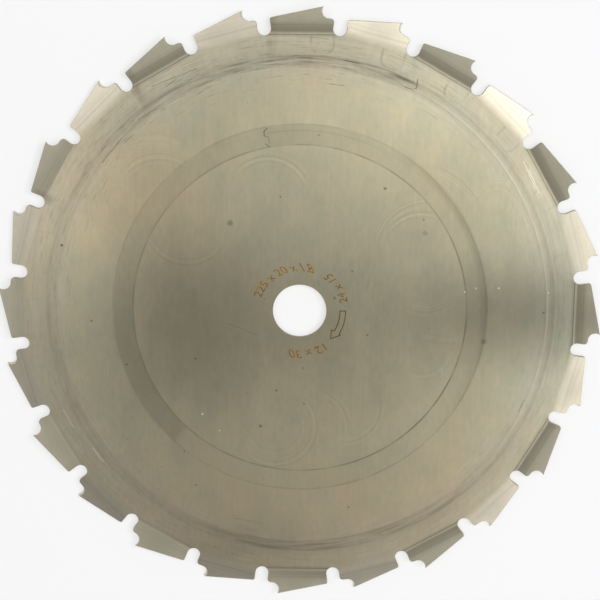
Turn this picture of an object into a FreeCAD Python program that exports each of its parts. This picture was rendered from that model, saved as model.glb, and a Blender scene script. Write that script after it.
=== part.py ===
import FreeCAD, Part
import math
import os
import Sketcher

# Brush cutter saw blade: a flat steel disc whose rim is cut into hooked chisel teeth.
# The teeth are bent up and down in turn, and each front is filed hollow with a round file.
# Origin: centre of the bore, half way through the plate. +Z: along the bore, out of the upper face.
# The tooth on +Y is bent up, and the teeth cut clockwise as seen from +Z.

doc = FreeCAD.newDocument("BrushCutterBlade")
sheet = doc.addObject("Spreadsheet::Sheet", "Sizes")

# Driving sizes, in millimetres and degrees
drivingSizes = [
    ("outsideDiameter", 225.0, "across the cutting tips"),
    ("boreDiameter", 20.0, "arbor hole"),
    ("boreBreak", 0.15, "edge break at both ends of the bore"),
    ("plateThickness", 1.8, "sheet thickness"),
    ("toothPairs", 12, "pairs of one tooth bent up and one bent down"),
    ("gulletDepth", 10.0, "from the tip circle to the bottom of a gullet"),
    ("gulletWidth", 5.0, "width of the round-bottomed gullet"),
    ("heelRadius", 0.7, "rounded heel corner of a tooth"),
    ("topAngle", 12.0, "fall of a tooth's straight top behind its tip"),
    ("tipOffset", 6.9, "from the gullet's centre line back to the cutting tip"),
    ("fileDiameter", 5.5, "round file that hollows the tooth front"),
    ("fileDrop", 1.3, "how far the file's centre lies below the tip"),
    ("fileAngle", 15.0, "lean of the file, one way on the teeth bent up, the other on those bent down"),
    ("shoulderRadius", 1.2, "shoulder between the filed front and the gullet"),
    ("toothSet", 1.1, "how far a tip is bent out of the plate"),
    ("foldMargin", 0.1, "from the gullet bottom out to the start of the fold"),
    ("foldRadius", 2.0, "inside radius of the fold at a tooth root"),
    ("trackRadius", 66.1, "middle of the rolled tension track"),
    ("trackWidth", 7.4, "width of the rolled tension track"),
    ("trackDepth", 0.05, "depth of the rolled tension track"),
    ("ringRadius", 93.4, "middle of the ring left by the setting die"),
    ("ringWidth", 2.8, "width of the die ring"),
    ("ringDepth", 0.05, "depth of the die ring"),
]
for row, (alias, value, note) in enumerate(drivingSizes, start=1):
    sheet.set(f"A{row}", note)
    sheet.set(f"B{row}", str(value))
    sheet.setAlias(f"B{row}", alias)
doc.recompute()

# Sizes that follow from the driving ones, as expressions
tipRadius = "(Sizes.outsideDiameter / 2)"
boreRadius = "(Sizes.boreDiameter / 2)"
halfThickness = "(Sizes.plateThickness / 2)"
halfPitch = "(90 deg / Sizes.toothPairs)"
gulletBottom = f"({tipRadius} - Sizes.gulletDepth)"
halfGullet = "(Sizes.gulletWidth / 2)"
foldDistance = f"({gulletBottom} + Sizes.foldMargin)"
setAngle = f"atan(Sizes.toothSet / ({tipRadius} - {foldDistance}))"
tipHeight = f"({halfThickness} + Sizes.toothSet)"

# The flat disc ends just short of the gullets, and each tooth's strip starts well inside it
discRadius = f"({gulletBottom} - {halfGullet} / 2)"
stripStart = f"({gulletBottom} - Sizes.gulletWidth)"
stripEnd = f"({tipRadius} + {halfThickness})"
# Neighbouring strips meet inside the gullet between them
stripHalfWidth = f"({foldDistance} * tan({halfPitch}) + {halfGullet} / 8)"

# The tip lies on the tip circle. The file's centre lies below it and in front of it.
tipReach = f"sqrt({tipRadius}^2 - Sizes.tipOffset^2)"
fileForward = "sqrt((Sizes.fileDiameter / 2)^2 - Sizes.fileDrop^2)"
fileOffset = f"(Sizes.tipOffset - {fileForward})"
fileReach = f"({tipReach} - Sizes.fileDrop)"
# The leaning file is true at the height of the bent tip, so it starts further off in its own plane
leaningOffset = f"({fileOffset} * cos(Sizes.fileAngle) + {tipHeight} * sin(Sizes.fileAngle))"

# A tooth's straight top passes through its tip, so its distance from the centre follows
tipAhead = f"({halfPitch} - asin(Sizes.tipOffset / {tipRadius}))"
topDistance = f"({tipRadius} * cos(Sizes.topAngle * 1 deg + {tipAhead}))"
topSlope = f"(Sizes.topAngle * 1 deg - {halfPitch})"
# The gap's outline runs on past the next tip, and outside the rim
topEnd = f"({tipRadius} * sin(2 * {halfPitch}) - {halfGullet})"
gapOutside = f"({tipRadius} + Sizes.gulletDepth)"
# The shoulder's top is level with the lowest point that the file reaches
shoulderReach = f"({fileReach} - Sizes.fileDiameter / 2)"


def measure(expression):
    # The value of an expression as a plain number, in millimetres or degrees
    result = sheet.evalExpression(expression)
    return getattr(result, "Value", result)


blade = doc.addObject("PartDesign::Body", "SawBlade")
blade.Label = "saw_blade"
blade.Placement = FreeCAD.Placement()
origin = {feature.Role: feature for feature in blade.Origin.OriginFeatures}


def newSketch(name, plane, turn=None):
    # A sketch on one of the blade's own planes, turned about that plane's axes if asked
    sketch = blade.newObject("Sketcher::SketchObject", name)
    sketch.AttachmentSupport = [(origin[plane], "")]
    sketch.MapMode = "FlatFace"
    if turn:
        sketch.setExpression("AttachmentOffset", f"create(<<placement>>; create(<<vector>>; 0; 0; 0); {turn})")
    return sketch


def bind(sketch, name, expression, *constraint):
    # A dimension of a sketch that follows the sheet. Sketcher takes an angle in radians.
    value = measure(expression)
    if constraint[0] == "Angle":
        value = math.radians(value)
    index = sketch.addConstraint(Sketcher.Constraint(*constraint, value))
    sketch.renameConstraint(index, name)
    sketch.setExpression(f"Constraints.{name}", expression)


def line(sketch, start, end):
    return sketch.addGeometry(Part.LineSegment(FreeCAD.Vector(*start), FreeCAD.Vector(*end)), False)


def arc(sketch, centre, radius, fromDegrees, toDegrees):
    circle = Part.Circle(FreeCAD.Vector(*centre), FreeCAD.Vector(0, 0, 1), radius)
    curve = Part.ArcOfCircle(circle, math.radians(fromDegrees), math.radians(toDegrees))
    return sketch.addGeometry(curve, False)


# Sketcher's own numbers for the ends and middle of an edge, and for the sketch's axes and origin
START, END, MIDDLE = range(1, 4)
SIDEWAYS, UPRIGHT = range(-1, -3, -1)
ORIGIN = SIDEWAYS


def rectangle(sketch, left, bottom, right, top):
    # Four edges, anticlockwise from the bottom one, square to the sketch's axes
    corners = [(left, bottom), (right, bottom), (right, top), (left, top)]
    edges = [line(sketch, corners[i], corners[(i + 1) % 4]) for i in range(4)]
    for i in range(4):
        direction = "Horizontal" if i % 2 == 0 else "Vertical"
        sketch.addConstraint(Sketcher.Constraint(direction, edges[i]))
        sketch.addConstraint(Sketcher.Constraint("Coincident", edges[i], END, edges[(i + 1) % 4], START))
    return edges


def flatDisc():
    # The flat plate with its bore, turned about the bore's axis
    section = newSketch("DiscSection", "XZ_Plane")
    half = measure(halfThickness)
    bottom, right, top, left = rectangle(section, measure(boreRadius), -half, measure(discRadius), half)
    bind(section, "below", halfThickness, "DistanceY", bottom, START, ORIGIN, START)
    bind(section, "thickness", "Sizes.plateThickness", "DistanceY", right, START, right, END)
    bind(section, "bore", boreRadius, "DistanceX", ORIGIN, START, bottom, START)
    bind(section, "rim", discRadius, "DistanceX", ORIGIN, START, bottom, END)
    disc = blade.newObject("PartDesign::Revolution", "Disc")
    disc.Profile = section
    disc.ReferenceAxis = (section, ["V_Axis"])
    disc.Angle = 360
    doc.recompute()
    return disc


def breakBore(base):
    # A small chamfer at each end of the bore
    radius = measure(boreRadius)
    rims = []
    for number, edge in enumerate(base.Shape.Edges, start=1):
        if hasattr(edge.Curve, "Radius") and abs(edge.Curve.Radius - radius) < 1e-6:
            rims.append(f"Edge{number}")
    chamfer = blade.newObject("PartDesign::Chamfer", "BoreBreak")
    chamfer.Base = (base, rims)
    chamfer.setExpression("Size", "Sizes.boreBreak")
    doc.recompute()
    return chamfer


def pressedRing(name, radius, width, depth):
    # A shallow ring pressed into the upper face
    section = newSketch(name + "Section", "XZ_Plane")
    middle, half, deep = measure(radius), measure(width) / 2, measure(depth)
    face = measure(halfThickness)
    bottom, right, top, left = rectangle(section, middle - half, face - deep, middle + half, face + deep)
    bind(section, "inner", f"{radius} - {width} / 2", "DistanceX", ORIGIN, START, bottom, START)
    bind(section, "width", width, "DistanceX", bottom, START, bottom, END)
    bind(section, "floor", f"{halfThickness} - {depth}", "DistanceY", ORIGIN, START, bottom, START)
    bind(section, "above", f"{halfThickness} + {depth}", "DistanceY", ORIGIN, START, top, START)
    groove = blade.newObject("PartDesign::Groove", name)
    groove.Profile = section
    groove.ReferenceAxis = (section, ["V_Axis"])
    groove.Angle = 360
    doc.recompute()
    return groove


def onBothFaces(name, features):
    # The same marks on the lower face
    mirrored = blade.newObject("PartDesign::Mirrored", name)
    mirrored.Originals = features
    mirrored.MirrorPlane = (origin["XY_Plane"], [""])
    blade.Tip = mirrored
    doc.recompute()
    return mirrored


def roundTheRim(name, feature, occurrences):
    # Copies of one feature, evenly spaced round the bore's axis
    pattern = blade.newObject("PartDesign::PolarPattern", name)
    pattern.Originals = [feature]
    pattern.Axis = (origin["Z_Axis"], [""])
    pattern.Angle = 360
    pattern.setExpression("Occurrences", occurrences)
    blade.Tip = pattern
    doc.recompute()
    return pattern


def bentStrip(name, up, turn):
    # The section of one tooth along its radius: flat root, fold, and a leg that slopes up or down.
    # side is +1 where the inside of the fold faces up, and the leg rises.
    side = 1 if up else -1
    section = newSketch(name + "Section", "YZ_Plane", turn)
    half, inside, angle = measure(halfThickness), measure("Sizes.foldRadius"), measure(setAngle)
    start, fold, end = measure(stripStart), measure(foldDistance), measure(stripEnd)
    outside = inside + 2 * half
    sine, cosine, slope = (f(math.radians(angle)) for f in (math.sin, math.cos, math.tan))
    centre = (fold, side * (half + inside))

    def alongLeg(radius):
        # Where the leg leaves the fold, and where it ends
        leave = (fold + radius * sine, side * (half + inside - radius * cosine))
        return leave, (end, leave[1] + side * slope * (end - leave[0]))

    innerLeave, innerEnd = alongLeg(inside)
    outerLeave, outerEnd = alongLeg(outside)
    sweep = (270, 270 + angle) if up else (90 - angle, 90)
    innerFlat = line(section, (start, side * half), (fold, side * half))
    innerFold = arc(section, centre, inside, *sweep)
    innerLeg = line(section, innerLeave, innerEnd)
    tip = line(section, innerEnd, outerEnd)
    outerLeg = line(section, outerEnd, outerLeave)
    outerFold = arc(section, centre, outside, *sweep)
    outerFlat = line(section, (fold, -side * half), (start, -side * half))
    root = line(section, (start, -side * half), (start, side * half))

    flatEnd, legEnd = (START, END) if up else (END, START)
    rules = [
        ("Tangent", innerFlat, END, innerFold, flatEnd),
        ("Tangent", innerFold, legEnd, innerLeg, START),
        ("Coincident", innerLeg, END, tip, START),
        ("Coincident", tip, END, outerLeg, START),
        ("Tangent", outerLeg, END, outerFold, legEnd),
        ("Tangent", outerFold, flatEnd, outerFlat, START),
        ("Coincident", outerFlat, END, root, START),
        ("Coincident", root, END, innerFlat, START),
        ("Coincident", innerFold, MIDDLE, outerFold, MIDDLE),
        ("Horizontal", innerFlat),
        ("Horizontal", outerFlat),
        ("Vertical", tip),
        ("Symmetric", root, START, root, END, SIDEWAYS),
        ("Parallel", innerLeg, outerLeg),
    ]
    for rule in rules:
        section.addConstraint(Sketcher.Constraint(*rule))
    bind(section, "root", stripStart, "DistanceX", ORIGIN, START, root, START)
    bind(section, "fold", foldDistance, "DistanceX", ORIGIN, START, innerFlat, END)
    bind(section, "end", stripEnd, "DistanceX", ORIGIN, START, tip, START)
    bind(section, "thickness", "Sizes.plateThickness", "Distance", root)
    bind(section, "inside", "Sizes.foldRadius", "Radius", innerFold)
    if up:
        bind(section, "slope", setAngle, "Angle", SIDEWAYS, innerLeg)
    else:
        bind(section, "slope", setAngle, "Angle", innerLeg, SIDEWAYS)
    return section


def bendTeeth(name, up, turn=None):
    # One bent tooth, as wide as the pitch, and its copies round the rim
    section = bentStrip(name, up, turn)
    doc.recompute()
    strip = blade.newObject("PartDesign::Pad", name)
    strip.Profile = section
    strip.SideType = "Symmetric"
    strip.setExpression("Length", f"2 * {stripHalfWidth}")
    doc.recompute()
    return roundTheRim(name + "Ring", strip, "Sizes.toothPairs")


def gapOutline():
    # The gap between two teeth, seen from above, standing upright on the sketch's own Y axis.
    # On its left is the front of the tooth bent up on +Y, on its right the heel of the next one.
    gap = newSketch("GapOutline", "XY_Plane", f"create(<<rotation>>; create(<<vector>>; 0; 0; 1); -{halfPitch})")
    half, bottom = measure(halfGullet), measure(gulletBottom)
    shoulder, heel = measure("Sizes.shoulderRadius"), measure("Sizes.heelRadius")
    shoulderTop = measure(shoulderReach)
    front, beyond, outside = -measure(fileOffset), measure(topEnd), measure(gapOutside)
    slope, distance = math.radians(measure(topSlope)), measure(topDistance)

    def onTop(x):
        return distance / math.cos(slope) + x * math.tan(slope)

    # Centre of the heel's corner: one radius inside both the gullet's wall and the top
    heelX = half + heel
    heelY = onTop(heelX) - heel / math.cos(slope)
    heelEnd = (heelX - heel * math.sin(slope), heelY + heel * math.cos(slope))
    middle = bottom + half
    bottomArc = arc(gap, (0, middle), half, 180, 360)
    heelWall = line(gap, (half, middle), (half, heelY))
    heelArc = arc(gap, (heelX, heelY), heel, 90 + math.degrees(slope), 180)
    top = line(gap, heelEnd, (beyond, onTop(beyond)))
    rightEnd = line(gap, (beyond, onTop(beyond)), (beyond, outside))
    outerEnd = line(gap, (beyond, outside), (front, outside))
    leftEnd = line(gap, (front, outside), (front, shoulderTop))
    ledge = line(gap, (front, shoulderTop), (-half - shoulder, shoulderTop))
    shoulderArc = arc(gap, (-half - shoulder, shoulderTop - shoulder), shoulder, 0, 90)
    frontWall = line(gap, (-half, shoulderTop - shoulder), (-half, middle))
    rules = [
        ("Tangent", bottomArc, END, heelWall, START),
        ("Tangent", heelWall, END, heelArc, END),
        ("Tangent", heelArc, START, top, START),
        ("Coincident", top, END, rightEnd, START),
        ("Coincident", rightEnd, END, outerEnd, START),
        ("Coincident", outerEnd, END, leftEnd, START),
        ("Coincident", leftEnd, END, ledge, START),
        ("Tangent", ledge, END, shoulderArc, END),
        ("Tangent", shoulderArc, START, frontWall, START),
        ("Tangent", frontWall, END, bottomArc, START),
        ("Vertical", heelWall),
        ("Vertical", rightEnd),
        ("Horizontal", outerEnd),
        ("Vertical", leftEnd),
        ("Horizontal", ledge),
        ("Vertical", frontWall),
        ("PointOnObject", bottomArc, MIDDLE, UPRIGHT),
    ]
    for rule in rules:
        gap.addConstraint(Sketcher.Constraint(*rule))
    bind(gap, "gullet", halfGullet, "Radius", bottomArc)
    bind(gap, "bottom", f"{gulletBottom} + {halfGullet}", "DistanceY", ORIGIN, START, bottomArc, MIDDLE)
    bind(gap, "heel", "Sizes.heelRadius", "Radius", heelArc)
    bind(gap, "slope", topSlope, "Angle", SIDEWAYS, top)
    bind(gap, "topDistance", topDistance, "Distance", ORIGIN, START, top)
    bind(gap, "topEnd", topEnd, "DistanceX", ORIGIN, START, top, END)
    bind(gap, "outside", gapOutside, "DistanceY", ORIGIN, START, outerEnd, START)
    bind(gap, "front", fileOffset, "DistanceX", leftEnd, START, ORIGIN, START)
    bind(gap, "shoulder", "Sizes.shoulderRadius", "Radius", shoulderArc)
    bind(gap, "shoulderTop", shoulderReach, "DistanceY", ORIGIN, START, ledge, START)
    return gap


def cutThrough(name, sketch):
    # Cut a sketch out of the rim, both ways from its plane
    pocket = blade.newObject("PartDesign::Pocket", name)
    pocket.Profile = sketch
    pocket.SideType = "Two sides"
    pocket.Type = "ThroughAll"
    pocket.Type2 = "ThroughAll"
    doc.recompute()
    return pocket


def fileFronts(name, pitches, lean):
    # Hollow the fronts of every second tooth with a round file that leans along the rim
    turn = f"create(<<rotation>>; -{pitches} * {halfPitch}; {lean} * Sizes.fileAngle; 0)"
    section = newSketch(name + "Section", "XY_Plane", turn)
    centre = (-measure(leaningOffset), measure(fileReach))
    circle = Part.Circle(FreeCAD.Vector(*centre), FreeCAD.Vector(0, 0, 1), measure("Sizes.fileDiameter") / 2)
    section.addGeometry(circle, False)
    bind(section, "diameter", "Sizes.fileDiameter", "Diameter", 0)
    bind(section, "offset", leaningOffset, "DistanceX", 0, MIDDLE, ORIGIN, START)
    bind(section, "reach", fileReach, "DistanceY", ORIGIN, START, 0, MIDDLE)
    return roundTheRim(name + "Ring", cutThrough(name, section), "Sizes.toothPairs")


disc = flatDisc()
breakBore(disc)
track = pressedRing("TensionTrack", "Sizes.trackRadius", "Sizes.trackWidth", "Sizes.trackDepth")
dieRing = pressedRing("DieRing", "Sizes.ringRadius", "Sizes.ringWidth", "Sizes.ringDepth")
onBothFaces("RingsBelow", [track, dieRing])

# Every second tooth is bent up, starting on +Y, and those between are bent down
bendTeeth("UpTeeth", True)
bendTeeth("DownTeeth", False, f"create(<<rotation>>; create(<<vector>>; 0; 1; 0); -2 * {halfPitch})")
roundTheRim("Gaps", cutThrough("Gap", gapOutline()), "2 * Sizes.toothPairs")

# The file leans so that the corner furthest out of the plate leads, on both kinds of tooth
fileFronts("UpFronts", 1, 1)
fileFronts("DownFronts", 3, -1)

for feature in doc.Objects:
    if "Invalid" in feature.State or "Error" in feature.State:
        raise RuntimeError(f"{feature.Name} did not build: {feature.State}")
if blade.Shape.isNull() or not blade.Shape.isValid() or len(blade.Shape.Solids) != 1:
    raise RuntimeError("the blade is not one whole solid")

os.makedirs("parts", exist_ok=True)
blade.Shape.exportStep(f"parts/{blade.Label}.step")
print(f"{blade.Label}: {blade.Shape.Volume:.0f} cubic millimetres, {len(blade.Shape.Faces)} faces")
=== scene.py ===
import math
from functools import partial

import bmesh
import bpy
from mathutils import Matrix, Vector
from mathutils.geometry import delaunay_2d_cdt


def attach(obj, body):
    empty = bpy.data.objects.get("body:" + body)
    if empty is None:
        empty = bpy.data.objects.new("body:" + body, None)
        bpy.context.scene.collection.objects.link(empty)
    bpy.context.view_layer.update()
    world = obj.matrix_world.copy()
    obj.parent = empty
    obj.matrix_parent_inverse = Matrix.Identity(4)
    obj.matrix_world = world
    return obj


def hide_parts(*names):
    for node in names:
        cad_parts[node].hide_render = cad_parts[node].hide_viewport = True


# Brush cutter saw blade in used, satin ground spring steel, lying flat on a pale floor.
# One sector, with one tooth bent up and one bent down, is drawn here and repeated round the bore.

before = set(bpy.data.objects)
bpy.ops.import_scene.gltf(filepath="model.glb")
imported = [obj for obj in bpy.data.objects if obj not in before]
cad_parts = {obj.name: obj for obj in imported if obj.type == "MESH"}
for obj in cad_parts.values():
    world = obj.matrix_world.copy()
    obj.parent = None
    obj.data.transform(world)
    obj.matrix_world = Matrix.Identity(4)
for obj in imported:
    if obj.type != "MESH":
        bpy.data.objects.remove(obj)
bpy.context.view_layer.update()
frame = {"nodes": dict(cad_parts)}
mm = 0.001
up, down = 1, -1
print("frame loaded:", ", ".join(frame["nodes"]))

scene = bpy.context.scene
scene.view_settings.view_transform = "Standard"


def linear(code):
    # sRGB hex to the linear colour that a shader works in
    channels = [int(code[i:i + 2], 16) / 255 for i in (0, 2, 4)]
    return tuple(c / 12.92 if c <= 0.04045 else ((c + 0.055) / 1.055) ** 2.4 for c in channels) + (1.0,)


def addNode(tree, kind, *values, stops=None, **settings):
    # One node: its settings by name, and its open sockets in order, each given a value, a socket or a node
    made = tree.nodes.new(kind if "Node" in kind else "ShaderNode" + kind)
    for name, value in settings.items():
        setattr(made, name, value)
    for i, (position, level) in enumerate(stops or []):
        element = made.color_ramp.elements[i] if i < 2 else made.color_ramp.elements.new(position)
        element.position = position
        element.color = (level, level, level, 1)
    for socket, value in zip([s for s in made.inputs if s.enabled], values):
        if isinstance(value, bpy.types.Node):
            value = next(s for s in value.outputs if s.enabled)
        if isinstance(value, bpy.types.NodeSocket):
            tree.links.new(value, socket)
        elif value is not None:
            socket.default_value = value
    return made


def newMaterial(name):
    made = bpy.data.materials.new(name)
    made.use_nodes = True
    made.node_tree.nodes.clear()
    return made, made.node_tree


bladeSizes = {  # millimetres and degrees, as the solid has them
    "outsideDiameter": 225, "boreDiameter": 20, "boreBreak": 0.15, "thickness": 1.8,
    "toothPairs": 12, "gulletDepth": 10, "gulletWidth": 5, "heelRadius": 0.7, "topAngle": 12,
    "tipOffset": 6.9, "fileDiameter": 5.5, "fileDrop": 1.3, "fileAngle": 15, "shoulderRadius": 1.2,
    "toothSet": 1.1, "foldMargin": 0.1,
    "trackRadius": 66.1, "trackWidth": 7.4, "dieRadius": 93.4, "dieWidth": 2.8, "pressedDepth": 0.05,
    # A fold is sharp on its inner side and drawn out on its outer side, from and to this far past its line
    "creaseLength": 0.22, "easyStart": -0.9, "easyEnd": 2.9,
    "foldRows": (-0.9, -0.4, 0, 0.11, 0.22, 0.8, 1.5, 2.2, 2.9),  # where the mesh has a row of corners for it
    "edgeBreak": 0.08, "stepWidth": 0.2,
    "sectorSteps": 24, "gulletSteps": 10, "shoulderSteps": 6, "hollowSteps": 16, "heelSteps": 5,
    "rimSteps": 4,
    "mitreLimit": 0.35, "crispAngle": 25, "weld": 0.002,
    "fit": 0.99999,  # keeps the welded tips inside the solid's box
}

tipRadius = bladeSizes["outsideDiameter"] / 2
boreRadius = bladeSizes["boreDiameter"] / 2
halfThick = bladeSizes["thickness"] / 2
pitch = 180 / bladeSizes["toothPairs"]
bottomRadius = tipRadius - bladeSizes["gulletDepth"]
halfGullet = bladeSizes["gulletWidth"] / 2
foldLine = bottomRadius + bladeSizes["foldMargin"]
fileRadius = bladeSizes["fileDiameter"] / 2
dieEdge = bladeSizes["dieRadius"] + bladeSizes["dieWidth"] / 2
tipAt = Vector((-bladeSizes["tipOffset"], math.sqrt(tipRadius ** 2 - bladeSizes["tipOffset"] ** 2)))
fileAside = math.sqrt(fileRadius ** 2 - bladeSizes["fileDrop"] ** 2)
fileAt = tipAt + Vector((fileAside, -bladeSizes["fileDrop"]))


def turned(point, degrees):
    # From the frame of a gap, with +Y out along the gap's middle, to the blade's own frame
    return Matrix.Rotation(math.radians(degrees - 90), 2) @ point


def rise(along, side, face):
    # How far a face of a bent tooth has left the plate, at a distance from the bore's axis along the tooth
    sharp = side == face
    start = foldLine + (0 if sharp else bladeSizes["easyStart"])
    end = foldLine + (bladeSizes["creaseLength"] if sharp else bladeSizes["easyEnd"])
    slope = bladeSizes["toothSet"] / (tipRadius - (start + end) / 2)
    if along <= start:
        return 0
    if along < end:
        return slope * (along - start) ** 2 / (2 * (end - start))
    return slope * (along - (start + end) / 2)


def heightOf(point, side, toothAngle, face):
    along = point.dot(turned(Vector((0, 1)), toothAngle))
    return face * halfThick + side * rise(along, side, face)


def arcPoints(centre, radius, fromDegrees, toDegrees, steps):
    angles = [math.radians(fromDegrees + (toDegrees - fromDegrees) * i / steps) for i in range(steps + 1)]
    return [centre + radius * Vector((math.cos(a), math.sin(a))) for a in angles]


def frontOutline(side, face):
    # From the bottom of a gullet up the front of the tooth on its left to its tip, in the gap's frame
    shoulder = bladeSizes["shoulderRadius"]
    ledge = fileAt.y - fileRadius
    lean = math.tan(math.radians(bladeSizes["fileAngle"]))
    tipHeight = halfThick + bladeSizes["toothSet"]
    topTurn = math.radians(bladeSizes["topAngle"] + pitch / 2)
    alongTop = Vector((math.cos(topTurn), math.sin(topTurn)))

    def fileShift(point):
        # The file leans, so it cuts further back where the face lies further from the bent tip
        height = heightOf(turned(point, 90), side, 90 + pitch / 2, face)
        return (side * height - tipHeight) * lean

    wide = fileRadius / math.cos(math.radians(bladeSizes["fileAngle"]))
    tip = tipAt
    for _ in range(4):  # it settles in four rounds
        # Where the straight top of the tooth meets the filed hollow
        centre = fileAt + Vector((fileShift(tip), 0))
        scaled = Vector((1 / wide, 1 / fileRadius))
        direction = Vector((alongTop.x * scaled.x, alongTop.y * scaled.y))
        offset = Vector(((tipAt - centre).x * scaled.x, (tipAt - centre).y * scaled.y))
        a, b, c = direction.dot(direction), 2 * direction.dot(offset), offset.dot(offset) - 1
        reach = (-b - math.sqrt(b * b - 4 * a * c)) / (2 * a)
        tip = tipAt + alongTop * reach
    tipTurn = math.atan2((tip.y - centre.y) / fileRadius, (tip.x - centre.x) / wide) % (2 * math.pi)
    hollow = []
    foot = math.radians(270)
    for i in range(bladeSizes["hollowSteps"] + 1):
        angle = foot + (tipTurn - foot) * i / bladeSizes["hollowSteps"]
        point = fileAt + Vector((wide * math.cos(angle), fileRadius * math.sin(angle)))
        for _ in range(3):  # and this in three
            point.x = fileAt.x + fileShift(point) + wide * math.cos(angle)
        hollow.append(point)
    bottom = Vector((0, bottomRadius + halfGullet))
    points = arcPoints(bottom, halfGullet, 270, 180, bladeSizes["gulletSteps"])
    bend = Vector((-halfGullet - shoulder, ledge - shoulder))
    points += arcPoints(bend, shoulder, 0, 90, bladeSizes["shoulderSteps"])
    return points + hollow, len(points)


def heelOutline():
    # From the heel of the tooth on a gullet's right, down to the bottom of that gullet, in the gap's frame
    heel = bladeSizes["heelRadius"]
    slope = math.radians(bladeSizes["topAngle"] - pitch / 2)
    fromTip = math.radians(pitch) - math.atan2(-tipAt.x, tipAt.y)
    distance = tipRadius * math.cos(slope + fromTip)
    x = halfGullet + heel
    y = distance / math.cos(slope) + x * math.tan(slope) - heel / math.cos(slope)
    points = arcPoints(Vector((x, y)), heel, 90 + math.degrees(slope), 180, bladeSizes["heelSteps"])
    bottom = Vector((0, bottomRadius + halfGullet))
    return points + arcPoints(bottom, halfGullet, 0, -90, bladeSizes["gulletSteps"])


foldStations = [foldLine + d for d in bladeSizes["foldRows"]]
sectorTeeth = [(down, 90 - pitch), (up, 90)]
sameSpot = 1e-6  # millimetres
groundFace, punchedEdge, filedFront = 0, 1, 2  # which of the blade's materials a face has


def rimOutline(face):
    # Anticlockwise along the rim of one sector: its points, each with its tooth and whether it is on a filed
    # front, and the ends of the fold rows
    rim = []
    for side, toothAngle in sectorTeeth:
        front, filedFrom = frontOutline(side, face)
        place = toothAngle - pitch / 2
        rim += [(turned(p, place), side, toothAngle, i >= filedFrom) for i, p in enumerate(front)]
        rim += [(turned(p, place + pitch), side, toothAngle, False) for p in heelOutline()]
    rim = [r for i, r in enumerate(rim) if i == 0 or (r[0] - rim[i - 1][0]).length > sameSpot]
    points, folds = [], {}
    for i, (point, side, toothAngle, filed) in enumerate(rim):
        points.append((point, side, toothAngle, filed))
        if i + 1 == len(rim):
            break
        axis = turned(Vector((0, 1)), toothAngle)
        here, there = point.dot(axis), rim[i + 1][0].dot(axis)
        crossed = [s for s in foldStations if (here - s) * (there - s) < 0]
        for station in sorted(crossed, reverse=there < here):
            folds.setdefault((toothAngle, station), []).append(len(points))
            cut = point.lerp(rim[i + 1][0], (station - here) / (there - here))
            points.append((cut, side, toothAngle, filed and rim[i + 1][3]))
    return points, folds


def inset(points, amount):
    # The same outline drawn in by the width of the broken edge; its ends slide along the sector's seams
    moved = []
    for i, point in enumerate(points):
        if i in (0, len(points) - 1):
            moved.append(point - amount * point.normalized())
            continue
        before, after = (point - points[i - 1]).normalized(), (points[i + 1] - point).normalized()
        sideways = (Vector((-before.y, before.x)) + Vector((-after.y, after.x))).normalized()
        spread = max(bladeSizes["mitreLimit"], sideways.dot(Vector((-before.y, before.x))))
        moved.append(point + sideways * amount / spread)
    return moved


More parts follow.
